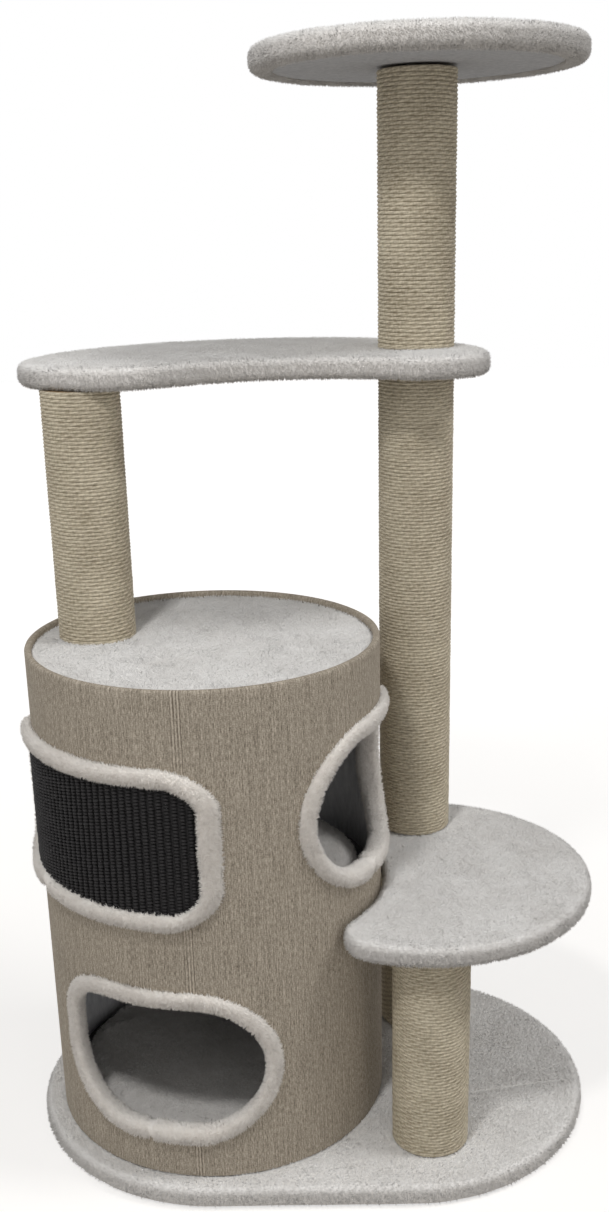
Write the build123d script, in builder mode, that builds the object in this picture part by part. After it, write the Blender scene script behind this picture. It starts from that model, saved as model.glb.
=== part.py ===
"""Cat tree: a plush base, a barrel with two dens, a step, a kidney perch and a round top."""
import os
from math import atan2, cos, degrees, hypot, pi, radians, sin, sqrt

from build123d import *

# Driving dimensions, in millimetres and degrees
# Cloths, boards and clearances
plush_t = 4.0
cloth_t = 1.2
lining_t = 2.0
hem_w = 22.0
edge_r = 10.0
base_board_t = 20.0
platform_board_t = 18.0
disc_t = 15.0
fit_gap = 0.1
soft_gap = 0.3

# Base, a slot with two round ends, the left one a margin wider than the barrel
base_margin = 24.0
base_span = 224.0

# Barrel
barrel_r = 200.0
barrel_h = 580.0
wall_t = 5.0
top_recess = 7.0
lower_den_h = 248.0
cushion_t = 25.0
cushion_play = 7.5
cushion_edge_r = 9.0

# Openings in the barrel, measured along its outer face and from the middle of each den
opening_arc = 234.0
opening_h = 152.0
opening_corner_r = 74.0
opening_tip_r = 40.0
lower_opening_angle = -15.0
lower_opening_rise = 2.0
upper_opening_angle = 71.0
upper_opening_drop = 3.0

# Plush edging of the openings
trim_lap = 21.0
trim_web = 3.5
trim_proud = 9.0
trim_inner = 6.0
trim_round_r = 6.5

# Scratching panel on the barrel and its plush frame
panel_arc = 330.0
panel_h = 145.0
panel_corner_r = 30.0
panel_angle = -45.0
panel_drop = 12.0
panel_t = 3.0
frame_lap = 20.0
frame_proud = 11.5
frame_round_r = 5.5

# Posts
tube_r = 40.0
tube_wall = 4.0
rope_d = 4.0
plug_t = 16.0
post_x = 138.0
post_gap = 260.0
barrel_post_x = -236.0
barrel_post_y = 30.0
lower_post_h = 258.0
middle_post_h = 570.0
upper_post_h = 291.0

# Platforms
step_r = 198.0
step_bite_gap = 3.0
step_tip_r = 38.0
perch_left = (-203.0, 87.0)
perch_left_r = 109.0
perch_right = (146.0, 78.0)
perch_right_r = 70.0
perch_back_ease = 0.2
perch_front_r = 215.0
top_r = 182.0

# Fasteners
bolt_r = 4.0
bolt_play = 0.5
head_r = 8.0
head_h = 5.0
washer_r = 12.0
washer_t = 2.0
sink_play = 1.5
sink_cover = 1.0
insert_r = 6.0
insert_h = 14.0
barrel_bolt_circle_r = 150.0
barrel_bolt_count = 4

# Places that follow from the driving dimensions
barrel_x = -base_span / 2
base_r = barrel_r + base_margin
base_top = plush_t + base_board_t + plush_t
platform_t = plush_t + platform_board_t + plush_t
step_z = base_top + lower_post_h
step_top = step_z + platform_t
perch_z = step_top + middle_post_h
perch_top = perch_z + platform_t
top_z = perch_top + upper_post_h
rim_z = base_top + barrel_h
tray_z = rim_z - top_recess
rear_post = (post_x, post_gap / 2)
front_post = (post_x, -post_gap / 2)
barrel_post = (barrel_post_x, barrel_post_y)
barrel_axis = (barrel_x, 0.0)

# Radii through the barrel's wall, from outside to inside
wall_r = barrel_r - cloth_t - fit_gap
wall_in_r = wall_r - wall_t
lining_r = wall_in_r - fit_gap
lining_in_r = lining_r - lining_t
trim_in_r = lining_in_r - fit_gap - trim_inner
cushion_r = trim_in_r - cushion_play

# Heights of the barrel's floors, openings and panel
lower_floor_z = base_top + disc_t
middle_disc_z = lower_floor_z + lower_den_h
upper_floor_z = middle_disc_z + disc_t
top_disc_z = tray_z - plush_t - disc_t
lower_opening_z = (lower_floor_z + middle_disc_z) / 2 + lower_opening_rise
upper_middle_z = (upper_floor_z + top_disc_z) / 2
upper_opening_z = upper_middle_z - upper_opening_drop
panel_z = upper_middle_z - panel_drop

os.makedirs("parts", exist_ok=True)


def save(piece, name):
    """Name a finished piece and write its file."""
    piece.part.label = name
    export_step(piece.part, "parts/" + name + ".step")


# Outlines of the four platforms, each drawn smaller by an inset
def base_outline(inset):
    with BuildSketch() as outline:
        SlotCenterToCenter(base_span, 2 * (base_r - inset))
    return outline.sketch


def step_outline(inset):
    with BuildSketch() as outline:
        with Locations((post_x, 0)):
            Circle(step_r - inset)
        with Locations(barrel_axis):
            Circle(barrel_r + step_bite_gap + inset, mode=Mode.SUBTRACT)
        fillet(outline.vertices(), step_tip_r - inset / 2)
    return outline.sketch


def meeting_point(centre_a, reach_a, centre_b, reach_b, side):
    """The point at two given distances from two centres, on one side of the line between them."""
    step_x = centre_b[0] - centre_a[0]
    step_y = centre_b[1] - centre_a[1]
    span = hypot(step_x, step_y)
    along = (span**2 + reach_a**2 - reach_b**2) / (2 * span)
    across = side * sqrt(reach_a**2 - along**2)
    x = centre_a[0] + (along * step_x - across * step_y) / span
    y = centre_a[1] + (along * step_y + across * step_x) / span
    return (x, y)


def arc_between(centre, start, end, radius):
    """An arc about a centre, from the direction of one point to the direction of another."""
    first = degrees(atan2(start[1] - centre[1], start[0] - centre[0]))
    last = degrees(atan2(end[1] - centre[1], end[0] - centre[0]))
    return CenterArc(centre, radius, first, (last - first) % 360)


def toward(centre, other, reach):
    """The point at a given distance from a centre, on the line to another point."""
    span = hypot(other[0] - centre[0], other[1] - centre[1])
    x = centre[0] + (other[0] - centre[0]) * reach / span
    y = centre[1] + (other[1] - centre[1]) * reach / span
    return (x, y)


def perch_outline(inset):
    """A kidney of four tangent arcs: two lobes, a long back and a hollow front."""
    span = hypot(perch_right[0] - perch_left[0], perch_right[1] - perch_left[1])
    left_r = perch_left_r - inset
    right_r = perch_right_r - inset
    back_r = (span + left_r + right_r) / 2 + perch_back_ease
    front_r = perch_front_r + inset
    back = meeting_point(perch_left, back_r - left_r, perch_right, back_r - right_r, -1)
    front = meeting_point(perch_left, front_r + left_r, perch_right, front_r + right_r, -1)
    back_left = toward(back, perch_left, back_r)
    back_right = toward(back, perch_right, back_r)
    front_left = toward(perch_left, front, left_r)
    front_right = toward(perch_right, front, right_r)
    with BuildSketch() as outline:
        with BuildLine():
            arc_between(back, back_right, back_left, back_r)
            arc_between(perch_left, back_left, front_left, left_r)
            arc_between(front, front_right, front_left, front_r)
            arc_between(perch_right, front_right, back_right, right_r)
        make_face()
    return outline.sketch


def top_outline(inset):
    with BuildSketch() as outline:
        with Locations(rear_post):
            Circle(top_r - inset)
    return outline.sketch


# Fastener places
def ring_of_bolts():
    """Places of the bolts between the base and the barrel's bottom disc."""
    turn = 2 * pi / barrel_bolt_count
    angles = [turn * (count + 0.5) for count in range(barrel_bolt_count)]
    reach = barrel_bolt_circle_r
    return [(barrel_x + reach * cos(angle), reach * sin(angle)) for angle in angles]


barrel_bolt_places = ring_of_bolts()
base_bolt_places = [front_post, rear_post]
sink_r = washer_r + sink_play
sink_depth = washer_t + head_h + sink_cover
hole_r = bolt_r + bolt_play


# Platforms: a board, a plush cover that wraps its edge, and a backing cloth inside the hem
def platform(name, outline, low_z, board_t, through, sunk_below, sunk_above):
    """Build one upholstered platform with its bolt holes and sinks."""
    board_z = low_z + plush_t
    board_top = board_z + board_t
    high_z = board_top + plush_t
    bolts = through + sunk_below + sunk_above

    with BuildPart() as board:
        with BuildSketch(Plane.XY.offset(board_z)):
            add(outline(plush_t))
        extrude(amount=board_t)
        rim = board.edges().group_by(Axis.Z)
        fillet(rim[0] + rim[-1], edge_r - plush_t)
        with BuildSketch(Plane.XY.offset(board_z)):
            with Locations(*bolts):
                Circle(hole_r)
        extrude(amount=board_t, mode=Mode.SUBTRACT)
        if sunk_below:
            with BuildSketch(Plane.XY.offset(board_z)):
                with Locations(*sunk_below):
                    Circle(sink_r)
            extrude(amount=sink_depth, mode=Mode.SUBTRACT)
        if sunk_above:
            with BuildSketch(Plane.XY.offset(board_top)):
                with Locations(*sunk_above):
                    Circle(sink_r)
            extrude(amount=-sink_depth, mode=Mode.SUBTRACT)
    save(board, name + "_board")

    with BuildPart() as cavity:
        with BuildSketch(Plane.XY.offset(board_z)):
            add(outline(plush_t - fit_gap))
        extrude(amount=board_t)
        rim = cavity.edges().group_by(Axis.Z)
        fillet(rim[0] + rim[-1], edge_r - plush_t)

    with BuildPart() as cover:
        with BuildSketch(Plane.XY.offset(low_z)):
            add(outline(0))
        extrude(amount=high_z - low_z)
        rim = cover.edges().group_by(Axis.Z)
        fillet(rim[0] + rim[-1], edge_r)
        add(cavity.part, mode=Mode.SUBTRACT)
        with BuildSketch(Plane.XY.offset(low_z)):
            add(outline(hem_w))
        extrude(amount=plush_t, mode=Mode.SUBTRACT)
        if through + sunk_below:
            with BuildSketch(Plane.XY.offset(high_z)):
                with Locations(*(through + sunk_below)):
                    Circle(hole_r)
            extrude(amount=-plush_t, mode=Mode.SUBTRACT)
    save(cover, name + "_cover")

    with BuildPart() as backing:
        with BuildSketch(Plane.XY.offset(board_z)):
            add(outline(hem_w + fit_gap))
            with Locations(*(through + sunk_above or sunk_below)):
                Circle(hole_r if through + sunk_above else sink_r, mode=Mode.SUBTRACT)
        extrude(amount=-plush_t)
    save(backing, name + "_backing")


platform("base", base_outline, 0, base_board_t, [], base_bolt_places + barrel_bolt_places, [])
platform("step", step_outline, step_z, platform_board_t, [rear_post], [], [front_post])
platform("perch", perch_outline, perch_z, platform_board_t, [rear_post], [], [barrel_post])
platform("top", top_outline, top_z, platform_board_t, [], [], [rear_post])


# Barrel openings: outlines drawn on a plane that faces out of the barrel at a given angle
def chord(arc):
    """Straight width of a stretch of the barrel's outer face."""
    return 2 * barrel_r * sin(arc / (2 * barrel_r))


def facing(angle, height):
    """A plane through the barrel's axis that looks outward at an angle from the front."""
    turn = radians(angle)
    along = (cos(turn), sin(turn), 0)
    outward = (sin(turn), -cos(turn), 0)
    return Plane(origin=(barrel_x, 0, height), x_dir=along, z_dir=outward)


def opening_outline(lap, tip_side):
    """A den opening with three wide corners and one tighter upper corner, grown by a lap."""
    wide_r = min(opening_corner_r, opening_h / 2 - fit_gap)
    with BuildSketch() as outline:
        Rectangle(chord(opening_arc + 2 * lap), opening_h + 2 * lap)
        upper = outline.vertices().group_by(Axis.Y)[-1].sort_by(Axis.X)
        fillet(upper[0] if tip_side < 0 else upper[-1], opening_tip_r + lap)
        wide = outline.vertices().sort_by(lambda corner: hypot(corner.X, corner.Y))[-3:]
        fillet(wide, wide_r + lap)
    return outline.sketch


def panel_outline(lap):
    """The scratching panel's outline, grown by a lap."""
    with BuildSketch() as outline:
        RectangleRounded(chord(panel_arc + 2 * lap), panel_h + 2 * lap, panel_corner_r + lap)
    return outline.sketch


# Each opening: its name, its facing angle, its height and the side of its tight corner
openings = [
    ("lower", lower_opening_angle, lower_opening_z, -1),
    ("upper", upper_opening_angle, upper_opening_z, 1),
]


def cut_openings():
    """Cut both den openings through the wall of the piece being built."""
    for name, angle, height, tip_side in openings:
        with BuildSketch(facing(angle, height)) as hole:
            add(opening_outline(trim_web + fit_gap, tip_side))
        extrude(hole.sketch, amount=2 * barrel_r, mode=Mode.SUBTRACT)


# Barrel wall, a rolled tube open at the dens
with BuildPart() as barrel_wall:
    with BuildSketch(Plane.XY.offset(base_top)):
        with Locations(barrel_axis):
            Circle(wall_r)
            Circle(wall_in_r, mode=Mode.SUBTRACT)
    extrude(amount=barrel_h - cloth_t)
    cut_openings()
save(barrel_wall, "barrel_wall")

# Woven cloth on the barrel, folded over the rim and down to the tray
with BuildPart() as barrel_fabric:
    with BuildSketch(Plane.XY.offset(base_top)):
        with Locations(barrel_axis):
            Circle(barrel_r)
            Circle(wall_r + fit_gap, mode=Mode.SUBTRACT)
    extrude(amount=barrel_h)
    with BuildSketch(Plane.XY.offset(rim_z)):
        with Locations(barrel_axis):
            Circle(barrel_r)
            Circle(lining_r - cloth_t, mode=Mode.SUBTRACT)
    extrude(amount=-cloth_t)
    with BuildSketch(Plane.XY.offset(rim_z)):
        with Locations(barrel_axis):
            Circle(lining_r)
            Circle(lining_r - cloth_t, mode=Mode.SUBTRACT)
    extrude(amount=-(top_recess + plush_t))
    cut_openings()
save(barrel_fabric, "barrel_fabric")

# Cloth linings of the two dens
lining_spans = [
    ("lower_den_lining", lower_floor_z, middle_disc_z),
    ("upper_den_lining", upper_floor_z, top_disc_z),
]
for name, low_z, high_z in lining_spans:
    with BuildPart() as lining:
        with BuildSketch(Plane.XY.offset(low_z)):
            with Locations(barrel_axis):
                Circle(lining_r)
                Circle(lining_in_r, mode=Mode.SUBTRACT)
        extrude(amount=high_z - low_z)
        cut_openings()
    save(lining, name)

# Wooden discs inside the barrel: the foot, the floor between the dens and the top
disc_spans = [
    ("barrel_bottom_disc", base_top, barrel_bolt_places, insert_r),
    ("barrel_middle_disc", middle_disc_z, [], 0),
    ("barrel_top_disc", top_disc_z, [barrel_post], hole_r),
]
for name, low_z, holes, radius in disc_spans:
    with BuildPart() as disc:
        with BuildSketch(Plane.XY.offset(low_z)):
            with Locations(barrel_axis):
                Circle(wall_in_r - fit_gap)
            if holes:
                with Locations(*holes):
                    Circle(radius, mode=Mode.SUBTRACT)
        extrude(amount=disc_t)
    save(disc, name)

# Plush on the tray at the barrel's top
with BuildPart() as barrel_top_cover:
    with BuildSketch(Plane.XY.offset(tray_z)):
        with Locations(barrel_axis):
            Circle(lining_r - cloth_t - fit_gap)
        with Locations(barrel_post):
            Circle(hole_r, mode=Mode.SUBTRACT)
    extrude(amount=-plush_t)
save(barrel_top_cover, "barrel_top_cover")

# Loose cushions that lie on the den floors
for name, floor_z in (("lower_den_cushion", lower_floor_z), ("upper_den_cushion", upper_floor_z)):
    with BuildPart() as cushion:
        with BuildSketch(Plane.XY.offset(floor_z + soft_gap)):
            with Locations(barrel_axis):
                Circle(cushion_r)
        extrude(amount=cushion_t)
        fillet(cushion.edges(), cushion_edge_r)
    save(cushion, name)


def barrel_shell(outer_r, inner_r):
    """A round shell about the barrel's axis, as tall as the barrel."""
    with BuildPart() as shell:
        with BuildSketch(Plane.XY.offset(base_top)):
            with Locations(barrel_axis):
                Circle(outer_r)
                Circle(inner_r, mode=Mode.SUBTRACT)
        extrude(amount=barrel_h)
    return shell.part


def on_radius(edge, radius):
    """Whether an edge lies on a round face about the barrel's axis."""
    middle = edge.position_at(0.5)
    return abs(hypot(middle.X - barrel_x, middle.Y) - radius) < fit_gap


# Plush edging of each opening: a channel that grips the wall's cut edge and rolls over both faces
for name, angle, height, tip_side in openings:
    with BuildPart() as channel:
        with BuildSketch(facing(angle, height)):
            add(opening_outline(2 * trim_lap, tip_side))
            add(opening_outline(trim_web, tip_side), mode=Mode.SUBTRACT)
        extrude(amount=2 * barrel_r)
        add(barrel_shell(barrel_r + fit_gap, lining_in_r - fit_gap), mode=Mode.INTERSECT)

    with BuildPart() as trim:
        with BuildSketch(facing(angle, height)):
            add(opening_outline(trim_lap, tip_side))
            add(opening_outline(0, tip_side), mode=Mode.SUBTRACT)
        extrude(amount=2 * barrel_r)
        add(barrel_shell(barrel_r + trim_proud, trim_in_r), mode=Mode.INTERSECT)
        outer_edges = [edge for edge in trim.edges() if on_radius(edge, barrel_r + trim_proud)]
        fillet(outer_edges, trim_round_r)
        add(channel.part, mode=Mode.SUBTRACT)
    save(trim, name + "_opening_trim")

# Scratching panel, a woven mat bent round the barrel
with BuildPart() as scratch_panel:
    with BuildSketch(facing(panel_angle, panel_z)):
        add(panel_outline(0))
    extrude(amount=2 * barrel_r)
    add(barrel_shell(barrel_r + fit_gap + panel_t, barrel_r + fit_gap), mode=Mode.INTERSECT)
save(scratch_panel, "scratch_panel")

# Plush frame round the scratching panel
with BuildPart() as scratch_panel_trim:
    with BuildSketch(facing(panel_angle, panel_z)):
        add(panel_outline(frame_lap))
        add(panel_outline(fit_gap), mode=Mode.SUBTRACT)
    extrude(amount=2 * barrel_r)
    add(barrel_shell(barrel_r + frame_proud, barrel_r + fit_gap), mode=Mode.INTERSECT)
    crown = barrel_r + frame_proud
    outer_edges = [edge for edge in scratch_panel_trim.edges() if on_radius(edge, crown)]
    fillet(outer_edges, frame_round_r)
save(scratch_panel_trim, "scratch_panel_trim")

# Posts: a tube with a wooden plug at each end, wound with rope
posts = [
    ("front_post", front_post, base_top, step_z),
    ("rear_lower_post", rear_post, base_top, step_z),
    ("rear_middle_post", rear_post, step_top, perch_z),
    ("rear_upper_post", rear_post, perch_top, top_z),
    ("barrel_post", barrel_post, tray_z, perch_z),
]
for name, place, low_z, high_z in posts:
    with BuildPart() as tube:
        with BuildSketch(Plane.XY.offset(low_z)):
            with Locations(place):
                Circle(tube_r)
                Circle(tube_r - tube_wall, mode=Mode.SUBTRACT)
        extrude(amount=high_z - low_z)
    save(tube, name + "_tube")

    with BuildPart() as rope:
        with BuildSketch(Plane.XY.offset(low_z)):
            with Locations(place):
                Circle(tube_r + rope_d)
                Circle(tube_r + fit_gap, mode=Mode.SUBTRACT)
        extrude(amount=high_z - low_z)
    save(rope, name + "_rope")

    for end, plug_z in (("bottom", low_z), ("top", high_z - plug_t)):
        with BuildPart() as plug:
            with BuildSketch(Plane.XY.offset(plug_z)):
                with Locations(place):
                    Circle(tube_r - tube_wall - fit_gap)
                    Circle(insert_r, mode=Mode.SUBTRACT)
            extrude(amount=plug_t)
        save(plug, name + "_" + end + "_plug")


# Fasteners, plain bodies in groups
def stack(places, low_z, height, radius, bore):
    """A round solid, bored or plain, at each place."""
    with BuildSketch(Plane.XY.offset(low_z)) as section:
        with Locations(*places):
            Circle(radius)
            if bore:
                Circle(bore, mode=Mode.SUBTRACT)
    extrude(section.sketch, amount=height)


base_seat_z = plush_t + sink_depth
with BuildPart() as base_bolts:
    for places, reach in ((base_bolt_places, base_top + insert_h), (barrel_bolt_places, base_top + disc_t)):
        stack(places, base_seat_z - washer_t - head_h, head_h, head_r, 0)
        stack(places, base_seat_z - washer_t, reach - base_seat_z + washer_t, bolt_r, 0)
save(base_bolts, "base_bolts")

with BuildPart() as base_washers:
    stack(base_bolt_places + barrel_bolt_places, base_seat_z - washer_t, washer_t, washer_r, bolt_r + fit_gap)
save(base_washers, "base_washers")

# Bolts that come down through the step, the perch and the top into the posts below
capped = [(front_post, step_top), (barrel_post, perch_top), (rear_post, top_z + platform_t)]
with BuildPart() as platform_bolts:
    for place, high_z in capped:
        seat_z = high_z - plush_t - sink_depth + washer_t
        low_z = high_z - platform_t - insert_h
        stack([place], seat_z, head_h, head_r, 0)
        stack([place], low_z, seat_z - low_z, bolt_r, 0)
save(platform_bolts, "platform_bolts")

with BuildPart() as platform_washers:
    for place, high_z in capped:
        stack([place], high_z - plush_t - sink_depth, washer_t, washer_r, bolt_r + fit_gap)
save(platform_washers, "platform_washers")

# Studs that join one rear post to the next through the step and the perch
with BuildPart() as joint_studs:
    for high_z in (step_top, perch_top):
        low_z = high_z - platform_t - insert_h
        stack([rear_post], low_z, high_z + insert_h - low_z, bolt_r, 0)
save(joint_studs, "joint_studs")

# Bolt that comes up through the barrel's top disc into the post on it
with BuildPart() as barrel_post_bolt:
    stack([barrel_post], top_disc_z - washer_t - head_h, head_h, head_r, 0)
    stack([barrel_post], top_disc_z - washer_t, tray_z + insert_h - top_disc_z + washer_t, bolt_r, 0)
save(barrel_post_bolt, "barrel_post_bolt")

with BuildPart() as barrel_post_washer:
    stack([barrel_post], top_disc_z - washer_t, washer_t, washer_r, bolt_r + fit_gap)
save(barrel_post_washer, "barrel_post_washer")

# Screw-in nuts in the post plugs and in the barrel's foot
with BuildPart() as threaded_inserts:
    for name, place, low_z, high_z in posts:
        stack([place], low_z, insert_h, insert_r, bolt_r)
        stack([place], high_z - insert_h, insert_h, insert_r, bolt_r)
    stack(barrel_bolt_places, base_top, disc_t, insert_r, bolt_r)
save(threaded_inserts, "threaded_inserts")
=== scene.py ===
# %% [markdown]
# # A cat tree, dressed over its CAD frame
# The real thing is chipboard wrapped in short off-white plush, a fibreboard barrel wrapped in
# linen-look cloth, and cardboard tubes wound with sisal rope. The CAD model already holds every size.
# Here each cloth, rope and cushion is modelled again as what it is, in the CAD's own place.

# %% Load the frame and keep its box
import math
from functools import partial

import bmesh
import bpy
import numpy as np
from mathutils import Matrix, Vector, geometry, noise


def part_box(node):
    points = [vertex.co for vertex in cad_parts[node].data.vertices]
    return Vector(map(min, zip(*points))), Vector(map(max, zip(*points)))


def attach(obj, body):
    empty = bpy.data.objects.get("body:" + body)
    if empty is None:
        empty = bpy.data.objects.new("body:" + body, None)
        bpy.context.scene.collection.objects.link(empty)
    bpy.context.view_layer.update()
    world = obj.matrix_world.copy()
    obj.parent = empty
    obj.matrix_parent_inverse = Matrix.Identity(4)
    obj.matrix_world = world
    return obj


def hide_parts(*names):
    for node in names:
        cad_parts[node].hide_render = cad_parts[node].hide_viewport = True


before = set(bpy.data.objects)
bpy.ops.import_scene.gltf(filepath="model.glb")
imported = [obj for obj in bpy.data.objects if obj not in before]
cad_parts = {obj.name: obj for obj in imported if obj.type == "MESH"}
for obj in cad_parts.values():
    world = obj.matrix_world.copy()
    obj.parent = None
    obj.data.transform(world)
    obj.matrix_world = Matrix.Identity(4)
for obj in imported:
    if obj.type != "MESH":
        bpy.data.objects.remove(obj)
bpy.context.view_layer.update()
mm = 0.001
scene = bpy.context.scene


def put_in_scene(name, data):
    """A new object with this data."""
    made = bpy.data.objects.new(name, data)
    scene.collection.objects.link(made)
    return made


def new_mesh(name, verts, faces):
    """A mesh from points and faces."""
    mesh = bpy.data.meshes.new(name)
    mesh.from_pydata(verts, [], faces)
    return mesh


# %% [markdown]
# ## Camera
# The photograph was taken from a little above the perch, looking down by about nineteen degrees. A camera
# could be placed by eye, but then every edge drifts. These numbers come from fitting the tree's known
# circles to the picture, so the render and the photograph can be laid over each other.

# %% Place the camera
picture_w, picture_h = 609, 1212
look_down, roll, turn = 0.3293, -0.0283, math.radians(1.3)
focal_px, axis_px = 1336.5, (287.9, 690.4)
eye = Vector((15.5, -1452.3, 1035.2)) * mm

forward = Vector((0, math.cos(look_down), -math.sin(look_down)))
level = Vector((1, 0, 0))
raised = Vector((0, math.sin(look_down), math.cos(look_down)))
across = math.cos(roll) * level + math.sin(roll) * raised
upward = math.cos(roll) * raised - math.sin(roll) * level
axes = Matrix.Rotation(turn, 3, "Z") @ Matrix((across, upward, -forward)).transposed()

lens = bpy.data.cameras.new("camera")
lens.sensor_width = 36
lens.lens = focal_px * lens.sensor_width / picture_h
lens.shift_x = (picture_w / 2 - axis_px[0]) / picture_h
lens.shift_y = (axis_px[1] - picture_h / 2) / picture_h
camera = put_in_scene("camera", lens)
camera.matrix_world = Matrix.Translation(eye) @ axes.to_4x4()
scene.camera = camera
print("lens", round(lens.lens, 2), "mm, shift", round(lens.shift_x, 4), round(lens.shift_y, 4))

# %% [markdown]
# ## Helpers for colours, nodes and materials
# Shader and geometry trees are both lists of nodes and links. One small function adds a node, sets its
# properties and fills its sockets with values or links. Colours are written as they look on a screen, and
# turned to the linear light that the renderer adds up. Every finish ends in one surface of the same kind.

# %% Colour, node and material helpers
def linear(code):
    """An sRGB hex colour as linear red, green, blue and alpha."""
    parts = [int(code[i:i + 2], 16) / 255 for i in (1, 3, 5)]
    return tuple(v / 12.92 if v <= 0.04045 else ((v + 0.055) / 1.055) ** 2.4 for v in parts) + (1.0,)


def add(tree, kind, sockets=None, stops=(), **settings):
    """Add a node. A socket takes a value, an output, or a node for its first output; a ramp takes stops."""
    made = tree.nodes.new(kind)
    for name, value in settings.items():
        setattr(made, name, value)
    for name, value in (sockets or {}).items():
        if isinstance(value, bpy.types.Node):
            value = value.outputs[0]
        if isinstance(value, bpy.types.NodeSocket):
            tree.links.new(value, made.inputs[name])
        else:
            made.inputs[name].default_value = value
    for i, (place, colour) in enumerate(stops):
        ramp = made.color_ramp.elements
        stop = ramp[i] if i < len(ramp) else ramp.new(place)
        stop.position = place
        stop.color = linear(colour)
    return made


def new_material(name):
    """A material and its empty node tree."""
    made = bpy.data.materials.new(name)
    made.use_nodes = True
    made.node_tree.nodes.clear()
    return made, made.node_tree


def coat(tree, colour, relief, rough, shine, more=None):
    """End a material's tree in a surface with a colour, a relief, a roughness and a shine."""
    sockets = {"Base Color": colour, "Normal": relief, "Roughness": rough, "Specular IOR Level": shine}
    shader = add(tree, "ShaderNodeBsdfPrincipled", {**sockets, **(more or {})})
    add(tree, "ShaderNodeOutputMaterial", {"Surface": shader})


print("plush white is", [round(v, 3) for v in linear("#FBF9F6")[:3]], "in linear light")

# %% [markdown]
# ## Floor, sky and light
# A product photograph like this has a white sweep and a few lamps. The shadows tell where two of them stood:
# one high in front and a little left, which puts a bright patch into the den, and one high on the right,
# which throws the step's shadow on the barrel. Two weak fills and an even sky do the rest, at a level where a
# colour renders about as it is written. The floor and the sky look white to the camera and to reflections
# only, so their white adds no light of its own.

# %% Build the stage
floor_half = 9
floor_corners = [(-floor_half, -floor_half, 0), (floor_half, -floor_half, 0),
                 (floor_half, floor_half, 0), (-floor_half, floor_half, 0)]
near_m, far_m, near_white, far_white = 0.5, 2.0, 0.56, 0.70
sky_light, white_light = 0.32, (1, 1, 1, 1)
lamp_aim = Vector((0, 0, 0.5))


def seen_directly(tree):
    """One for a ray from the camera or a reflection, or through something clear; nought for one of light."""
    rays = add(tree, "ShaderNodeLightPath").outputs
    seen = add(tree, "ShaderNodeMath", {0: rays["Is Camera Ray"], 1: rays["Is Glossy Ray"]},
               operation="MAXIMUM")
    return add(tree, "ShaderNodeMath", {0: seen, 1: rays["Is Transmission Ray"]}, operation="MAXIMUM")


def hang(name, kind, place, energy, **settings):
    """A lamp at a place, turned to the middle of the tree."""
    lamp = bpy.data.lights.new(name, kind)
    lamp.energy = energy
    for setting, value in settings.items():
        setattr(lamp, setting, value)
    hung = put_in_scene(name, lamp)
    hung.location = place
    hung.rotation_euler = (Vector(place) - lamp_aim).to_track_quat("Z", "Y").to_euler()


floor = put_in_scene("floor", new_mesh("floor", floor_corners, [(0, 1, 2, 3)]))
paper, tree = new_material("white_paper_sweep")
# Away from the tree the lamp's light fades, so the paper's own white rises to meet the sky's
where = add(tree, "ShaderNodeTexCoord").outputs["Object"]
away = add(tree, "ShaderNodeVectorMath", {0: where}, operation="LENGTH").outputs["Value"]
white = add(tree, "ShaderNodeMapRange", {"Value": away, 1: near_m, 2: far_m, 3: near_white, 4: far_white})
lift = add(tree, "ShaderNodeMath", {0: seen_directly(tree), 1: white}, operation="MULTIPLY")
glow = add(tree, "ShaderNodeEmission", {"Color": white_light, "Strength": lift})
matt = add(tree, "ShaderNodeBsdfDiffuse", {"Color": linear("#D1CECA")})
both = add(tree, "ShaderNodeAddShader", {0: matt, 1: glow})
add(tree, "ShaderNodeOutputMaterial", {"Surface": both})
floor.data.materials.append(paper)

sky = bpy.data.worlds.new("studio_sky")
scene.world = sky
sky.use_nodes = True
tree = sky.node_tree
tree.nodes.clear()
even = add(tree, "ShaderNodeBackground", {"Color": white_light, "Strength": sky_light})
white = add(tree, "ShaderNodeBackground", {"Color": white_light, "Strength": 1.0})
mixed = add(tree, "ShaderNodeMixShader", {0: seen_directly(tree), 1: even, 2: white})
add(tree, "ShaderNodeOutputWorld", {"Surface": mixed})

hang("key_box", "AREA", (-0.45, -1.2, 2.3), 13.2, shape="DISK", size=0.26)
hang("right_box", "SUN", (2.0, -0.3, 3.4), 0.78, angle=math.radians(16))
hang("left_fill", "SUN", (-2.0, -0.9, 1.2), 0.32, angle=math.radians(40))
hang("low_fill", "SUN", (0.9, -1.9, 0.96), 0.34, angle=math.radians(36))
scene.view_settings.view_transform = "Standard"

# %% [markdown]
# ## Short plush
# A knitted polyester with a cut pile of about four millimetres. It is matt, pale, and a little clumped:
# where the pile lies away from the light it is greyer, where it stands it is whiter. Colour noise at the
# size of a clump paints that light and shade in random places. Upright faces, such as the edges of the
# boards, get darker tones by their slope: painted shade for the pile's depth between tufts. The pile
# itself is real geometry.

# %% Plush materials
clump_size, patch_size, tuft_size, fibre_size = 9 * mm, 55 * mm, 5 * mm, 2.2 * mm
plush_levels = (0.34, 0.66)
# Between these heights of a face's normal the tint goes from the level tones to the painted-shade tones
lying_z, full_shade_z = 0.95, -0.1


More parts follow.
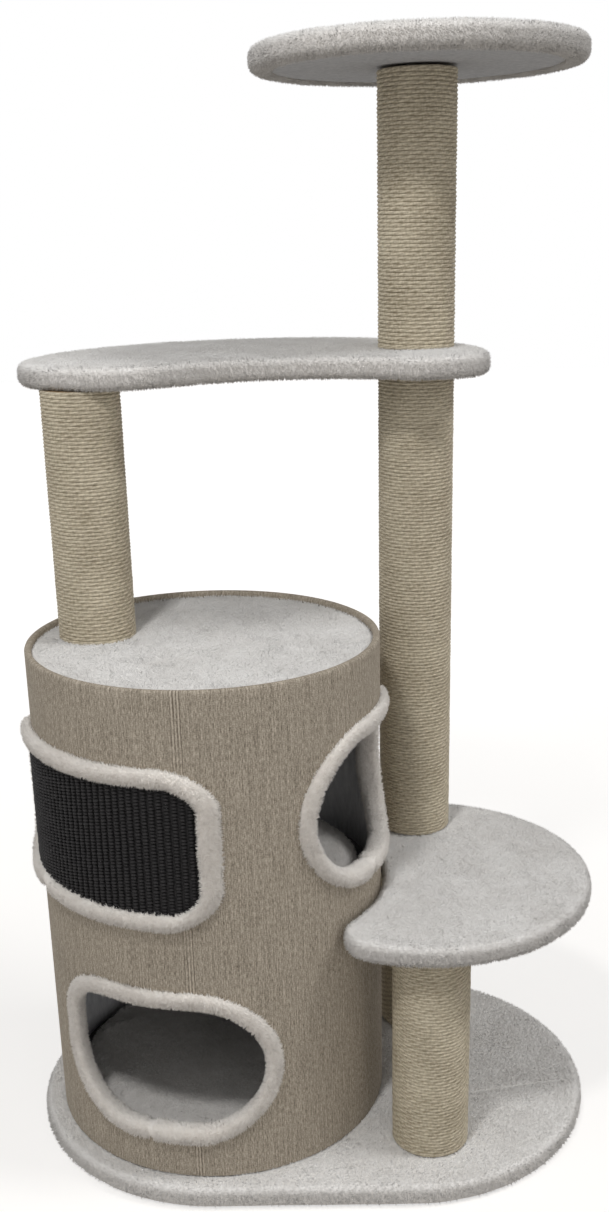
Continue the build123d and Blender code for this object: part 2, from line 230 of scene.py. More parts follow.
def plush_finish(name, lying, upright_shade_tones):
    """Plush with (dark, light) tones where its pile lies on a level face, and darker ones on upright faces as
    painted shade.
    """
    made, tree = new_material(name)
    coords = add(tree, "ShaderNodeTexCoord").outputs
    where = coords["Object"]
    clump = add(tree, "ShaderNodeTexNoise",
                {"Vector": where, "Scale": 1 / clump_size, "Detail": 3, "Roughness": 0.6})
    patch = add(tree, "ShaderNodeTexNoise", {"Vector": where, "Scale": 1 / patch_size, "Detail": 2})
    blend = add(tree, "ShaderNodeMix", {0: 0.5, 2: clump, 3: patch})
    level = add(tree, "ShaderNodeValToRGB", {0: blend}, stops=zip(plush_levels, lying))
    # Upright faces take darker tones: painted shade for the pile's depth between tufts
    tuft = add(tree, "ShaderNodeTexNoise", {"Vector": where, "Scale": 1 / tuft_size, "Detail": 3})
    upright = add(tree, "ShaderNodeValToRGB", {0: tuft}, stops=zip(plush_levels, upright_shade_tones))
    # The steeper the face, the more of that painted shade is mixed in
    faces = add(tree, "ShaderNodeSeparateXYZ", {0: coords["Normal"]}).outputs
    slope = add(tree, "ShaderNodeMapRange", {"Value": faces["Z"], 1: lying_z, 2: full_shade_z, 3: 0.0, 4: 1.0})
    shown = add(tree, "ShaderNodeMix", {0: slope, 6: level, 7: upright}, data_type="RGBA").outputs[2]
    fibre = add(tree, "ShaderNodeTexNoise", {"Vector": where, "Scale": 1 / fibre_size, "Detail": 2})
    relief = add(tree, "ShaderNodeBump", {"Height": fibre, "Strength": 0.5, "Distance": 1.2 * mm})
    coat(tree, shown, relief, rough=0.95, shine=0.15, more={"Sheen Weight": 0.12, "Sheen Roughness": 0.6})
    return made


plush = plush_finish("polyester_plush_short_pile", ("#EAE7E3", "#FBF9F6"), ("#D8D4CF", "#E6E2DE"))
# The edging's pile is brushed, and its upright faces get only a little painted shade
edging_plush = plush_finish("polyester_plush_brushed", ("#ECE6DF", "#FCF8F2"), ("#E7E0D8", "#F8F2EB"))
# The den cushions get the same tones on their sides as on top, so they have no painted shade
cushion_tones = ("#E2DED9", "#F6F3EF")
cushion_plush = plush_finish("polyester_plush_cushion", cushion_tones, cushion_tones)
print("made", plush.name + ",", edging_plush.name, "and", cushion_plush.name)

# %% [markdown]
# ## Linen-look cloth
# A plain weave of uneven polyester yarn, glued tight round the barrel. Slubs, the thick places in a yarn,
# show as broken streaks up and down, and the cross yarns as short dashes. A regular wave would shimmer at
# this distance, so both yarns are stretched noise, about twice as coarse as the real threads so that they
# show.

# %% Linen material
yarn_sizes = {"up": (1.0 * mm, 6 * mm, 2), "cross": (2.0 * mm, 1.0 * mm, 2), "broad": (1.6 * mm, 50 * mm, 3)}
thick_at, thick_half, thick_pitch = 200 * mm * (math.pi - math.radians(4.2)), 5.6 * mm, 3.4 * mm
cross_share, broad_share, thick_lift = 0.45, 0.26, 0.10

linen, tree = new_material("linen_look_polyester_weave")
weave = add(tree, "ShaderNodeUVMap", uv_map="cloth")
yarns = {}
for name, (wide, tall, detail) in yarn_sizes.items():
    sized = add(tree, "ShaderNodeMapping", {"Vector": weave, "Scale": (1 / wide, 1 / tall, 1)})
    yarns[name] = add(tree, "ShaderNodeTexNoise", {"Vector": sized, "Scale": 1.0, "Detail": detail},
                      noise_dimensions="2D")
crossed = add(tree, "ShaderNodeMix", {0: cross_share, 2: yarns["up"], 3: yarns["cross"]})
streaks = add(tree, "ShaderNodeMix", {0: broad_share, 2: crossed, 3: yarns["broad"]})
# A few thick pale yarns stand together a little left of the front, as in any cloth of uneven yarn
u = add(tree, "ShaderNodeSeparateXYZ", {0: weave})
off = add(tree, "ShaderNodeMath", {0: u, 1: thick_at}, operation="SUBTRACT")
near = add(tree, "ShaderNodeMath", {0: off, 1: 0.0, 2: thick_half}, operation="COMPARE")
comb = add(tree, "ShaderNodeMath", {0: off, 1: 2 * math.pi / thick_pitch}, operation="MULTIPLY")
comb = add(tree, "ShaderNodeMath", {0: comb}, operation="COSINE")
comb = add(tree, "ShaderNodeMath", {0: comb, 1: near}, operation="MULTIPLY")
thick = add(tree, "ShaderNodeMath", {0: comb, 1: thick_lift, 2: streaks}, operation="MULTIPLY_ADD")
tint = add(tree, "ShaderNodeValToRGB", {0: thick},
           stops=[(0.34, "#71675A"), (0.5, "#A29889"), (0.68, "#CFC3B3")])
relief = add(tree, "ShaderNodeBump", {"Height": crossed, "Strength": 0.35, "Distance": 0.6 * mm})
coat(tree, tint, relief, rough=0.85, shine=0.25)
print("made", linen.name)

# %% [markdown]
# ## Sisal, as rope and as mat
# Sisal is a stiff leaf fibre, cream when raw. As rope it is twisted from strands, so each turn shows slanting
# ridges, in its bump and as painted light and shade in its colour, and a few darker fibres. The mat is the
# same fibre dyed black and woven into upright ribs, and its fibre ends stay dull, so only their roundness
# catches the light.

# %% Sisal materials
rope_lay, rope_strands, rope_fibre, rope_patch = 15 * mm, 3.0, 3 * mm, 45 * mm
ridge_shade_share, patch_share = 0.14, 0.3
mat_fibre, mat_stretch = 1.6 * mm, (1, 1, 0.35)

rope_finish, tree = new_material("sisal_rope_raw")
along = add(tree, "ShaderNodeAttribute", attribute_name="along").outputs["Fac"]
around = add(tree, "ShaderNodeAttribute", attribute_name="around").outputs["Vector"]
around = add(tree, "ShaderNodeSeparateXYZ", {0: around}).outputs
angle = add(tree, "ShaderNodeMath", {0: around["Y"], 1: around["X"]}, operation="ARCTAN2")
twist = add(tree, "ShaderNodeMath", {0: along, 1: 2 * math.pi / rope_lay}, operation="MULTIPLY")
strand = add(tree, "ShaderNodeMath", {0: angle, 1: rope_strands, 2: twist}, operation="MULTIPLY_ADD")
ridge = add(tree, "ShaderNodeMath", {0: strand}, operation="SINE")
where = add(tree, "ShaderNodeTexCoord").outputs["Object"]
fibre = add(tree, "ShaderNodeTexNoise", {"Vector": where, "Scale": 1 / rope_fibre, "Detail": 3})
patch = add(tree, "ShaderNodeTexNoise", {"Vector": where, "Scale": 1 / rope_patch, "Detail": 2})
# The strand ridges are painted into the colour: painted light on their crowns, painted shade in the grooves
# between strands
shade = add(tree, "ShaderNodeMath", {0: ridge, 1: ridge_shade_share, 2: fibre}, operation="MULTIPLY_ADD")
mixed = add(tree, "ShaderNodeMix", {0: patch_share, 2: shade, 3: patch})
tint = add(tree, "ShaderNodeValToRGB", {0: mixed}, stops=[(0.30, "#9E927C"), (0.68, "#D7CDB7")])
relief = add(tree, "ShaderNodeBump", {"Height": shade, "Strength": 0.3, "Distance": 0.8 * mm})
coat(tree, tint, relief, rough=0.75, shine=0.3)

mat_finish, tree = new_material("sisal_mat_dyed_black")
where = add(tree, "ShaderNodeTexCoord").outputs["Object"]
stretched = add(tree, "ShaderNodeMapping", {"Vector": where, "Scale": mat_stretch})
fibre = add(tree, "ShaderNodeTexNoise", {"Vector": stretched, "Scale": 1 / mat_fibre, "Detail": 3})
tint = add(tree, "ShaderNodeValToRGB", {0: fibre}, stops=[(0.34, "#080707"), (0.70, "#262324")])
relief = add(tree, "ShaderNodeBump", {"Height": fibre, "Strength": 0.6, "Distance": 0.8 * mm})
coat(tree, tint, relief, rough=0.7, shine=0.35)
print("made", rope_finish.name, "and", mat_finish.name)

# %% [markdown]
# ## Lining, backing and the parts behind them
# The dens are lined with thin brushed grey cloth, and the undersides of the boards are covered with grey
# non-woven backing, a felt of pressed fibres. Chipboard, fibreboard, cardboard and zinc-plated steel show
# only from below, from behind or inside, but they are finished all the same.

# %% Plain finishes
def mottled(name, dark, light, grain, rough, stretch=(1, 1, 1), shine=0.3, metal=0.0, depth=0.3):
    """A finish of two tones in grains of a real size, with a bump of the same grain."""
    made, tree = new_material(name)
    where = add(tree, "ShaderNodeTexCoord").outputs["Object"]
    placed = add(tree, "ShaderNodeMapping", {"Vector": where, "Scale": stretch})
    grains = add(tree, "ShaderNodeTexNoise",
                 {"Vector": placed, "Scale": 1 / grain, "Detail": 4, "Roughness": 0.65})
    tint = add(tree, "ShaderNodeValToRGB", {0: grains}, stops=[(0.35, dark), (0.65, light)])
    relief = add(tree, "ShaderNodeBump", {"Height": grains, "Strength": depth, "Distance": grain / 4})
    coat(tree, tint, relief, rough, shine, {"Metallic": metal})
    return made


# Brushed tricot: soft, matt, with faint streaks where the nap was stroked
lining_finish = mottled("brushed_tricot_lining", "#C6C6C8", "#DADADB", 7 * mm, 0.95,
                        stretch=(1, 1, 0.4), shine=0.1)
# Pressed non-woven felt: flat grey with a fine cloudy fibre pattern
backing_finish = mottled("non_woven_felt_backing", "#A7A7A9", "#BEBEBF", 5 * mm, 0.95, shine=0.1)
# The barrel's floors are chipboard too, faced with thin grey felt on both sides
felt_faced = mottled("felt_faced_chipboard", "#5F5D5D", "#777575", 5 * mm, 0.95, shine=0.1)
# Chipboard: flakes of softwood in tan resin
chipboard = mottled("chipboard_raw", "#9C7E55", "#D2B98C", 4 * mm, 0.8, stretch=(1, 1, 2.5), depth=0.5)
# Hard fibreboard: brown, smooth, with a faint pressed mesh
fibreboard = mottled("hard_fibreboard", "#6B4C33", "#80603F", 3 * mm, 0.6, shine=0.35)
# Wound kraft cardboard: tan paper with flat wraps
cardboard = mottled("wound_kraft_cardboard", "#A98C66", "#BFA37C", 12 * mm, 0.8,
                    stretch=(1, 1, 3), shine=0.25)
# Zinc-plated steel: a soft grey metal with faint spangle
zinc = mottled("zinc_plated_steel", "#A9ABAD", "#C9CBCC", 2 * mm, 0.38, shine=0.5, metal=1.0, depth=0.08)
print("made seven plain finishes")

# %% [markdown]
# ## Outlines read from the frame
# The platforms have free outlines: a slot, a disc with a bite, a kidney, a disc. They could be drawn again
# from numbers, but the CAD has them already, so a level plane cuts the node, and the loop with the largest
# area is the outline.

# %% Read an outline
loop_step = 6 * mm


def outline_of(node):
    """A CAD node's outer loop at half its height: points, outward normals, area and length."""
    low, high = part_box(node)
    cut = bmesh.new()
    cut.from_mesh(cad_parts[node].data)
    bmesh.ops.remove_doubles(cut, verts=cut.verts, dist=1e-6)
    everything = cut.verts[:] + cut.edges[:] + cut.faces[:]
    bmesh.ops.bisect_plane(cut, geom=everything, plane_co=(0, 0, (low[2] + high[2]) / 2), plane_no=(0, 0, 1),
                           clear_inner=True, clear_outer=True)
    bmesh.ops.remove_doubles(cut, verts=cut.verts, dist=1e-6)
    best, best_area, used = None, 0.0, set()
    for start in cut.verts:
        if start in used or len(start.link_edges) != 2:
            continue
        loop, here, came = [], start, None
        while here not in used:
            used.add(here)
            loop.append((here.co.x, here.co.y))
            onward = [e for e in here.link_edges if e != came]
            if not onward:
                break
            came = onward[0]
            here = came.other_vert(here)
        ring = np.array(loop)
        onto = np.roll(ring, -1, axis=0)
        area = 0.5 * float(np.sum(ring[:, 0] * onto[:, 1] - onto[:, 0] * ring[:, 1]))
        if abs(area) > abs(best_area):
            best, best_area = ring, area
    cut.free()
    ring = best if best_area > 0 else best[::-1]
    closed = np.vstack([ring, ring[:1]])
    run = np.concatenate([[0], np.cumsum(np.linalg.norm(np.diff(closed, axis=0), axis=1))])
    count = int(round(run[-1] / loop_step))
    at = np.arange(count) * run[-1] / count
    points = np.stack([np.interp(at, run, closed[:, i]) for i in (0, 1)], axis=1)
    ahead = np.roll(points, -2, axis=0) - np.roll(points, 2, axis=0)
    ahead /= np.linalg.norm(ahead, axis=1, keepdims=True)
    return points, np.stack([ahead[:, 1], -ahead[:, 0]], axis=1), abs(best_area), run[-1]


boards = ["base", "step", "perch", "top"]
loops = {name: outline_of(name + "_cover") for name in boards}
loops["tray"] = outline_of("barrel_top_cover")
for name, loop in loops.items():
    print(name, "outline:", len(loop[0]), "points,", round(loop[3], 3), "m round")

# %% [markdown]
# ## Skins
# Every cloth skin is made in one of two ways: rows of points joined by four-sided faces, or a ring filled
# with triangles. A soft noise keeps it from lying dead flat.

# %% Make a skin
def new_piece(name, mesh, finish):
    """A smooth object at the origin with its place in its mesh."""
    made = put_in_scene(name, mesh)
    mesh.materials.clear()
    mesh.materials.append(finish)
    mesh.shade_smooth()
    return made


def mark_pile(mesh, furred):
    """Note for each face whether pile grows on it."""
    mesh.attributes.new("pile", "BOOLEAN", "FACE").data.foreach_set("value", furred)


def uneven(x, y, z, size, depth):
    """A soft random height at a place, with hills of a real size."""
    return depth * noise.noise(Vector((x, y, z)) / size)


def off_rim(rim, x, y):
    """How far a place lies from the nearest point of a ring."""
    return math.sqrt(np.min(np.sum((rim - (x, y)) ** 2, axis=1)))


def bands(rows, count, closed=False):
    """Four-sided faces between rows of points, each row a ring of the same count."""
    faces = []
    for k in range(rows if closed else rows - 1):
        n = (k + 1) % rows
        for i in range(count):
            j = (i + 1) % count
            faces.append((k * count + i, k * count + j, n * count + j, n * count + i))
    return faces


def fill_ring(rim, within):
    """Fill a ring with triangles, with the help of places within it: all points, and the triangles."""
    count = len(rim)
    edges = [(i, (i + 1) % count) for i in range(count)]
    spots = [Vector(p) for p in rim] + within
    flat, _, triangles, *_ = geometry.delaunay_2d_cdt(spots, edges, [list(range(count))], 1, 1e-7)
    return flat, triangles


print("two rings of four points give", len(bands(2, 4)), "faces")

# %% [markdown]
# ## Plush covers
# On the real boards the plush is pulled over the edge and stapled under it, with its cut edge under a hem.
# A cover is a section, from the hem round the edge to the top, carried round the outline, and a top filled
# with small triangles so that it can lie a little uneven, as cloth over a board does. The skin lies a nap's
# depth under the CAD surface, because the pile that grows on it later reaches that surface with its tips. The
# base is sewn from two widths of plush, and their seam shows as a narrow furrow without pile at the right.
# Where the base stands on the floor its pile is pressed flat, so none grows there.

# %% Sew a cover
hem_w, nap, round_r, pressed_nap = 22 * mm, 2.2 * mm, 7.5 * mm, 0.6 * mm
seam_w, seam_deep, seam_points = 2.2 * mm, 1.0 * mm, 50
base_seam = [(0.150, -0.059), (0.318, -0.0235)]
top_grid, row_share, rim_share = 7 * mm, 0.866, 0.6
top_rise, board_crown, tray_crown = 40 * mm, 0.8 * mm, 0.5 * mm
ripple_size, ripple_deep, sag_size, sag_deep = 30 * mm, 0.5 * mm, 70 * mm, 0.9 * mm
near_floor, facing_down = 5 * mm, -0.3


def from_seam(x, y, seam):
    """How far a place lies from a sewn seam."""
    if seam is None:
        return math.inf
    start, end = (Vector(p) for p in seam)
    share = min(1.0, max(0.0, (Vector((x, y)) - start).dot(end - start) / (end - start).length_squared))
    return (Vector((x, y)) - start.lerp(end, share)).length


def sew_cover(name, loop, section, crown, seam=None):
    """Carry a section round an outline and fill the top: a cloth skin, open under the board."""
    points, normals = loop[0], loop[1]
    count, verts = len(points), []
    for inset, height in section:
        ring = points - normals * inset
        verts += [(x, y, height + uneven(x, y, 0, ripple_size, ripple_deep)) for x, y in ring]
    rim, top = points - normals * section[-1][0], section[-1][1]
    low, high = rim.min(axis=0), rim.max(axis=0)
    within = []
    for row, y in enumerate(np.arange(low[1] + top_grid / 2, high[1], top_grid * row_share)):
        for x in np.arange(low[0] + top_grid / 2 * (row % 2), high[0], top_grid):
            if off_rim(rim, x, y) > rim_share * top_grid and from_seam(x, y, seam) > 2 * seam_w:
                within.append(Vector((x, y)))
    if seam:
        start, end = (Vector(p) for p in seam)
        beside = (end - start).orthogonal().normalized()
        for share in np.linspace(0, 1, seam_points):
            within += [start.lerp(end, share) + beside * off for off in (-seam_w, 0, seam_w)]
    flat, triangles = fill_ring(rim, within)
    first = (len(section) - 1) * count
    keys = {i: first + i for i in range(count)}
    for i, p in enumerate(flat[count:], count):
        swell = crown * (1 - math.exp(-off_rim(rim, p.x, p.y) / top_rise))
        swell += uneven(p.x, p.y, 0, sag_size, sag_deep)
        furrow = seam_deep * math.exp(-(from_seam(p.x, p.y, seam) / seam_w) ** 2)
        keys[i] = len(verts)
        verts.append((p.x, p.y, top + swell - furrow))
    mesh = new_mesh(name, verts, bands(len(section), count) + [tuple(keys[i] for i in t) for t in triangles])
    cleaned = bmesh.new()
    cleaned.from_mesh(mesh)
    bmesh.ops.remove_doubles(cleaned, verts=cleaned.verts, dist=1e-7)
    bmesh.ops.delete(cleaned, geom=[v for v in cleaned.verts if not v.link_faces], context="VERTS")
    cleaned.to_mesh(mesh)
    cleaned.free()
    on_floor = min(v[2] for v in verts) < near_floor
    sewn = [from_seam(f.center.x, f.center.y, seam) < seam_w for f in mesh.polygons]
    pressed = [on_floor and f.normal.z < facing_down for f in mesh.polygons]
    mark_pile(mesh, [not (a or b) for a, b in zip(sewn, pressed)])
    return new_piece(name, mesh, plush)


def edge_section(low, high):
    """From the hem's cut edge under the board, round its side, to the rim of the top: (inset, height)."""
    bend = [math.radians(a) for a in range(0, 91, 15)]
    under = [(hem_w, low + 3.5 * mm), (hem_w - 0.8 * mm, low + 1.2 * mm), (hem_w - 3 * mm, low + 0.2 * mm),
             (hem_w - 7 * mm, low)]
    lower = [(round_r - round_r * math.sin(a), low + round_r - round_r * math.cos(a)) for a in bend]
    upper = [(round_r - round_r * math.cos(a), high - round_r + round_r * math.sin(a)) for a in bend]
    return under + lower + upper + [(round_r + 6 * mm, high), (round_r + 13 * mm, high)]


covers = {}
for name in boards:
    low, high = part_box(name + "_cover")
    under, seam = (pressed_nap, base_seam) if name == "base" else (nap, None)
    section = [(inset + nap, z) for inset, z in edge_section(low[2] + under, high[2] - nap)]
    covers[name] = sew_cover(name + "_plush", loops[name], section, board_crown, seam)

tray_z, rim_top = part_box("barrel_top_cover")[0][2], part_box("barrel_top_cover")[1][2]
turned_in = [(0.6 * mm, tray_z), (0.0, tray_z + 1 * mm), (0.3 * mm, rim_top - 1.6 * mm),
             (1.2 * mm, rim_top - 0.9 * mm), (3 * mm, rim_top - 0.6 * mm), (10 * mm, rim_top - 0.6 * mm)]
covers["tray"] = sew_cover("tray_plush", loops["tray"], turned_in, tray_crown)
for name, cover in covers.items():
    print(name, "cover:", len(cover.data.polygons), "faces")

# %% [markdown]
# ## Places on the barrel
# The den openings and the scratching panel are flat outlines pressed onto a round barrel: about a hand-span
# across with rounded corners, and one corner of each opening drawn tighter. The same rule as in the CAD is
# used, so the edging grips exactly where the wall is cut.

# %% Outlines on the barrel
fabric_low, fabric_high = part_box("barrel_fabric")
barrel_x = (fabric_low[0] + fabric_high[0]) / 2
barrel_r = (fabric_high[0] - fabric_low[0]) / 2
lining_r = 191.6 * mm
opening_arc, opening_h, wide_r, tip_r = 234 * mm, 152 * mm, 74 * mm, 40 * mm
panel_arc, panel_h, panel_r = 330 * mm, 145 * mm, 30 * mm
corner_points, side_parts = 19, 10


def middle_z(node):
    """The height of a node's middle."""
    return (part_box(node)[0][2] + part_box(node)[1][2]) / 2


opening_places = {"lower": (math.radians(-15), middle_z("lower_opening_trim"), -1),
                  "upper": (math.radians(71), middle_z("upper_opening_trim"), 1)}
panel_place = (math.radians(-45), middle_z("scratch_panel"))


def outline_on_barrel(arc, tall, radii, lap):
    """A rounded rectangle grown by a lap: anticlockwise points, the same count for every lap."""
    wide = 2 * barrel_r * math.sin((arc + 2 * lap) / (2 * barrel_r))
    high = tall + 2 * lap
    corners = [(wide / 2, -high / 2, -90), (wide / 2, high / 2, 0),
               (-wide / 2, high / 2, 90), (-wide / 2, -high / 2, 180)]
    ring = []
    for (x, y, start), radius in zip(corners, radii):
        bend = radius + lap
        cx, cy = x - math.copysign(bend, x), y - math.copysign(bend, y)
        for turned in np.linspace(0, 90, corner_points):
            at = math.radians(start + turned)
            ring.append((cx + bend * math.cos(at), cy + bend * math.sin(at)))
    loop = []
    for i, (x, y) in enumerate(ring):
        x2, y2 = ring[(i + 1) % len(ring)]
        parts = side_parts if (i + 1) % corner_points == 0 else 1
        loop += [(x + (x2 - x) * k / parts, y + (y2 - y) * k / parts) for k in range(parts)]
    return np.array(loop)


def opening_outline(side, lap):
    """One den opening; the tight corner is upper left or upper right."""
    radii = [wide_r, tip_r, wide_r, wide_r] if side > 0 else [wide_r, wide_r, tip_r, wide_r]
    return outline_on_barrel(opening_arc, opening_h, radii, lap)


def pressed_on(x, height, radius, facing):
    """A point of a flat outline pushed straight out onto a round of this radius."""
    depth = math.sqrt(radius ** 2 - x ** 2)
    return (barrel_x + x * math.cos(facing) + depth * math.sin(facing),
            x * math.sin(facing) - depth * math.cos(facing), height)


print("opening outline:", len(opening_outline(1, 0)), "points")

# %% [markdown]
# ## Barrel cloth and den linings
# The cloth is one tight wrap, cut out at the openings and folded over the rim down to the tray. A cylinder
# of small faces is made, the faces inside the openings are taken out, and the edge left there is pulled
# onto the cut line, which the edging hides. The linings are made the same way, facing inward.

# %% Wrap the barrel
faces_round, cut_lap = 216, 9 * mm


def inside(points, ring):
    """Which of the points lie inside a closed ring, by counting crossings."""
    hit = np.zeros(len(points), bool)
    for (x1, y1), (x2, y2) in zip(ring, np.roll(ring, -1, axis=0)):
        across_it = (y1 > points[:, 1]) != (y2 > points[:, 1])
        slope = (x2 - x1) / (y2 - y1) if y2 != y1 else 0.0
        hit ^= across_it & (points[:, 0] < x1 + slope * (points[:, 1] - y1))
    return hit


def wrap(name, rings, finish, holes, facing_out):
    """A round cloth through rings of (radius, height), cut out at the holes, with a cloth UV."""
    sheet = bmesh.new()
    angles = np.linspace(math.pi / 2, 2.5 * math.pi, faces_round, endpoint=False)
    rows = []
    for radius, height in rings:
        rows.append([sheet.verts.new((barrel_x + radius * math.cos(a), radius * math.sin(a), height))
                     for a in angles])
    cloth = sheet.loops.layers.uv.new("cloth")
    run = np.concatenate([[0], np.cumsum([math.dist(a, b) for a, b in zip(rings, rings[1:])])])
    for r in range(len(rings) - 1):
        for i in range(faces_round):
            j = (i + 1) % faces_round
            corners = [(r, i, i), (r, j, i + 1), (r + 1, j, i + 1), (r + 1, i, i)]
            face = sheet.faces.new([rows[a][b] for a, b, _ in corners])
            for loop, (a, _, c) in zip(face.loops, corners):
                loop[cloth].uv = (c / faces_round * 2 * math.pi * barrel_r, run[a])
    for facing, height, side in holes:
        toward = Vector((math.sin(facing), -math.cos(facing)))
        beside = Vector((math.cos(facing), math.sin(facing)))
        line = opening_outline(side, cut_lap) + (0, height)
        middles = [f.calc_center_median() for f in sheet.faces]
        flat = np.array([(Vector((m.x - barrel_x, m.y)).dot(beside), m.z) for m in middles])
        front = np.array([Vector((m.x - barrel_x, m.y)).dot(toward) > 0 for m in middles])
        gone = [f for f, hit, near in zip(sheet.faces[:], inside(flat, line), front) if hit and near]
        taken = set(gone)
        lip = {v for f in gone for v in f.verts if any(g not in taken for g in v.link_faces)}
        bmesh.ops.delete(sheet, geom=gone, context="FACES")
        for v in lip:
            if not v.is_valid or not v.link_faces:
                continue
            radius = math.hypot(v.co.x - barrel_x, v.co.y)
            here = np.array((Vector((v.co.x - barrel_x, v.co.y)).dot(beside), v.co.z))
            x, z = line[np.argmin(np.sum((line - here) ** 2, axis=1))]
            v.co = pressed_on(x, z, radius, facing)
    if not facing_out:
        bmesh.ops.reverse_faces(sheet, faces=sheet.faces[:])
    mesh = bpy.data.meshes.new(name)
    sheet.to_mesh(mesh)
    sheet.free()
    return new_piece(name, mesh, finish)


rim_z, foot_z = fabric_high[2], fabric_low[2]
rim_in, cloth_rows, lining_rows = 192.4 * mm, 84, 40
rise = [(barrel_r, z) for z in np.linspace(foot_z, rim_z - 2.6 * mm, cloth_rows)]
fold = [(barrel_r - 0.7 * mm, rim_z - 0.9 * mm), (barrel_r - 2.4 * mm, rim_z), (rim_in + 2.2 * mm, rim_z),
        (rim_in + 0.6 * mm, rim_z - 0.8 * mm), (rim_in, rim_z - 2.4 * mm), (rim_in, rim_z - 7 * mm)]
barrel_cloth = wrap("barrel_linen", rise + fold, linen, list(opening_places.values()), True)
print("barrel cloth:", len(barrel_cloth.data.polygons), "faces")

linings = {}
for name, place in opening_places.items():
    low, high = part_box(name + "_den_lining")
    rings = [(lining_r, z) for z in np.linspace(low[2], high[2], lining_rows)]
    linings[name] = wrap(name + "_den_brushed_lining", rings, lining_finish, [place], False)
    print(name, "lining:", len(linings[name].data.polygons), "faces")

# %% [markdown]
# ## Plush edging
# A padded strip of plush is rolled over the cut edge of each opening, gripping the wall from both sides, and
# a flatter one frames the scratching panel. Both are a soft section carried round an outline, so that they
# bend with the barrel. A little unevenness keeps them from looking turned on a lathe, and a small notch below
# shows where the two ends of each strip meet.

# %% Roll the edging
# Sections as (lap over the cut edge, height off the barrel) in mm
grip = [(18.6, 0.1), (19.0, 2.4), (17.8, 4.8), (15.0, 6.7), (11.0, 7.3), (6.8, 6.4), (3.4, 3.8), (2.0, 0.4),
        (1.8, -4), (2.0, -8.4), (3.4, -10.8), (6.6, -12.6), (11, -12.8), (16, -11.4), (18.6, -9.4),
        (19, -8.6), (4.6, -8.6), (4.6, 0.1)]
grip_bare = {15, 16, 17}
frame_roll = [(18.0, 0.1), (18.4, 3.0), (17.0, 6.4), (13.8, 8.9), (9.4, 9.7), (5.2, 8.8), (2.6, 6.2),
              (1.6, 3.2), (1.4, 0.1)]
frame_bare = {8}
roll_size, roll_depth, roll_shift, notch_deep, notch_back = 20 * mm, 1.3 * mm, 7, 2.4 * mm, 8


def roll_edging(name, outline, section, facing, height, bare):
    """Carry a section round an outline on the barrel. The bare spans of the section get no pile."""
    section = [(lap * mm, off * mm) for lap, off in section]
    rings = [outline(lap) for lap, _ in section]
    count = len(rings[0])
    joint = count - notch_back
    verts = []
    for k, (_, off) in enumerate(section):
        for i, (x, z) in enumerate(rings[k]):
            soft = 0.0 if k in bare else uneven(x, z + roll_shift * k * mm, off, roll_size, roll_depth)
            if k not in bare and i == joint:
                soft -= math.copysign(notch_deep, off)
            verts.append(pressed_on(x, z + height, barrel_r + off + soft, facing))
    mesh = new_mesh(name, verts, bands(len(section), count, closed=True))
    mark_pile(mesh, [k not in bare and i != joint for k in range(len(section)) for i in range(count)])
    return new_piece(name, mesh, edging_plush)


def panel_outline(lap):
    """The scratching panel's outline grown by a lap."""
    return outline_on_barrel(panel_arc, panel_h, [panel_r] * 4, lap)


edgings = {}
for name, (facing, height, side) in opening_places.items():
    edgings[name] = roll_edging(name + "_opening_edging", partial(opening_outline, side), grip,
                                facing, height, grip_bare)
edgings["panel"] = roll_edging("panel_edging", panel_outline, frame_roll, *panel_place, frame_bare)
print("edging:", {k: len(v.data.polygons) for k, v in edgings.items()})

# %% [markdown]
# ## Geometry-node trees
# Pile, rope and mat are grown by geometry-node trees with named inputs. A tree is used by hanging it on a
# piece as a modifier, setting its inputs by their identifiers, and taking the result as a plain mesh. The
# modifier and its carrier are removed, so nothing live is left behind.

# %% Make a tree, run it and keep its mesh
def new_tree(name, output, **inputs):
    """A geometry-node tree and the outputs of its input node. Inputs are named with _ for a space."""
    tree = bpy.data.node_groups.new(name, "GeometryNodeTree")
    for label, kind in inputs.items():
        tree.interface.new_socket(label.replace("_", " "), in_out="INPUT", socket_type="NodeSocket" + kind)
    tree.interface.new_socket(output, in_out="OUTPUT", socket_type="NodeSocketGeometry")
    return tree, add(tree, "NodeGroupInput").outputs


def drift(tree, size, amount):
    """A slow random direction at each place, with eddies of a real size."""
    place = add(tree, "GeometryNodeInputPosition")
    slow = add(tree, "ShaderNodeTexNoise", {"Vector": place, "Scale": 1 / size, "Detail": 1})
    evened = add(tree, "ShaderNodeVectorMath", {0: slow.outputs["Color"], 1: (0.5, 0.5, 0.5)},
                 operation="SUBTRACT")
    return add(tree, "ShaderNodeVectorMath", {0: evened, "Scale": amount}, operation="SCALE")


def end_tree(tree, shape, finish):
    """Give a tree's shape its finish and hand it out."""
    dressed = add(tree, "GeometryNodeSetMaterial", {"Geometry": shape, "Material": finish})
    add(tree, "NodeGroupOutput", {0: dressed})
    print(tree.name, "tree:", len(tree.nodes), "nodes")


def as_it_is(made):
    """A piece's mesh with its modifiers applied, as a new mesh."""
    return bpy.data.meshes.new_from_object(made.evaluated_get(bpy.context.evaluated_depsgraph_get()))


def grow(tree, name, source, **values):
    """The tree's result on a mesh as a new plain piece. Inputs are named with _ for a space."""
    carrier = put_in_scene(name + "_carrier", source)
    held = carrier.modifiers.new("tree", "NODES")
    held.node_group = tree
    for item in tree.interface.items_tree:
        key = item.name.replace(" ", "_")
        if item.in_out == "INPUT" and key in values:
            held[item.identifier] = values[key]
    mesh = as_it_is(carrier)
    bpy.data.objects.remove(carrier)
    mesh.name = name
    for spare in [a.name for a in mesh.attributes if a.name in ("nap", "pile")]:
        mesh.attributes.remove(mesh.attributes[spare])
    return put_in_scene(name, mesh)

